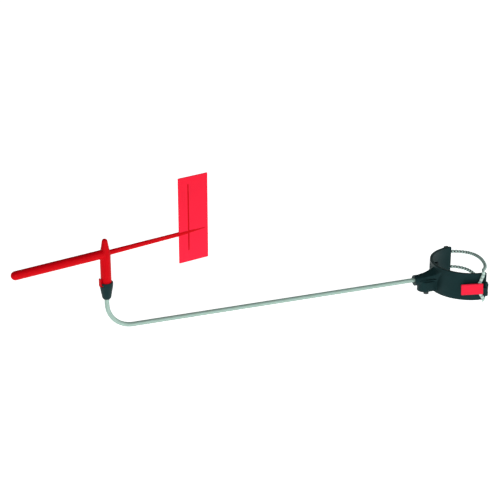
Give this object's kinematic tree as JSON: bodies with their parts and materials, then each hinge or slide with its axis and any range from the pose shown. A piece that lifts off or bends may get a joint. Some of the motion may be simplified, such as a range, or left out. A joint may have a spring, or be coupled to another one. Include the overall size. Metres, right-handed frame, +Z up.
{
  "type": "mast wind indicator",
  "caption": "Balanced wind vane with nose weight and flat tail fin, spinning on a bent rod held by a strap-on mast bracket.",
  "frame": {"origin": "on the axis of the mast that the pad seats, 1.1 mm above the axis of the support rod's straight run", "axes": "+Z up along the mast; -X forward from the mast along the support rod to the vane; the latch lever is on the -Y side"},
  "size_m": [0.5283, 0.0957, 0.1617],
  "materials": {
    "red_plastic": "glossy fluorescent red moulding",
    "black_plastic": "satin black, lightly grained",
    "rod_steel": "satin stainless rod",
    "pin_steel": "satin stainless",
    "screw_black": "black coated steel screw",
    "weight_brass": "plain turned brass",
    "bearing_ceramic": "polished bearing cup",
    "bush_plastic": "off-white low-friction plastic",
    "pad_rubber": "soft matt rubber",
    "strap_rubber": "translucent grey-white elastic cord"
  },
  "bodies": {
    "mount": {"mast_bracket": "black_plastic", "support_rod": "rod_steel", "rod_collar": "pin_steel", "pivot_needle": "pin_steel", "clamp_screw": "screw_black", "clamp_nut": "weight_brass", "mast_pad": "pad_rubber", "strap": "strap_rubber", "strap_keeper": "black_plastic", "keeper_screws": "pin_steel", "latch_pin": "pin_steel"},
    "vane": {"vane_moulding": "red_plastic", "nose_plug": "red_plastic", "nose_counterweight": "weight_brass", "bearing_carrier": "weight_brass", "bearing_cup": "bearing_ceramic", "guide_bush": "bush_plastic", "retaining_cap": "black_plastic"},
    "clip": {"retaining_clip": "red_plastic"},
    "lever": {"latch_lever": "black_plastic", "latch_cover": "red_plastic"}
  },
  "joints": [
    {"name": "vane_spin", "type": "hinge", "parent": "mount", "child": "vane", "pos_m": [-0.3977, 0, 0.0803], "axis": [0, 0, 1], "continuous": true},
    {"name": "clip_release", "type": "slide", "parent": "vane", "child": "clip", "axis": [-0.9707, -0.2402, 0], "range_m": [0, 0.0035]},
    {"name": "latch_turn", "type": "hinge", "parent": "mount", "child": "lever", "pos_m": [0.0101, -0.0442, 0], "axis": [0, 0, 1], "range_deg": [0, 140]}
  ]
}
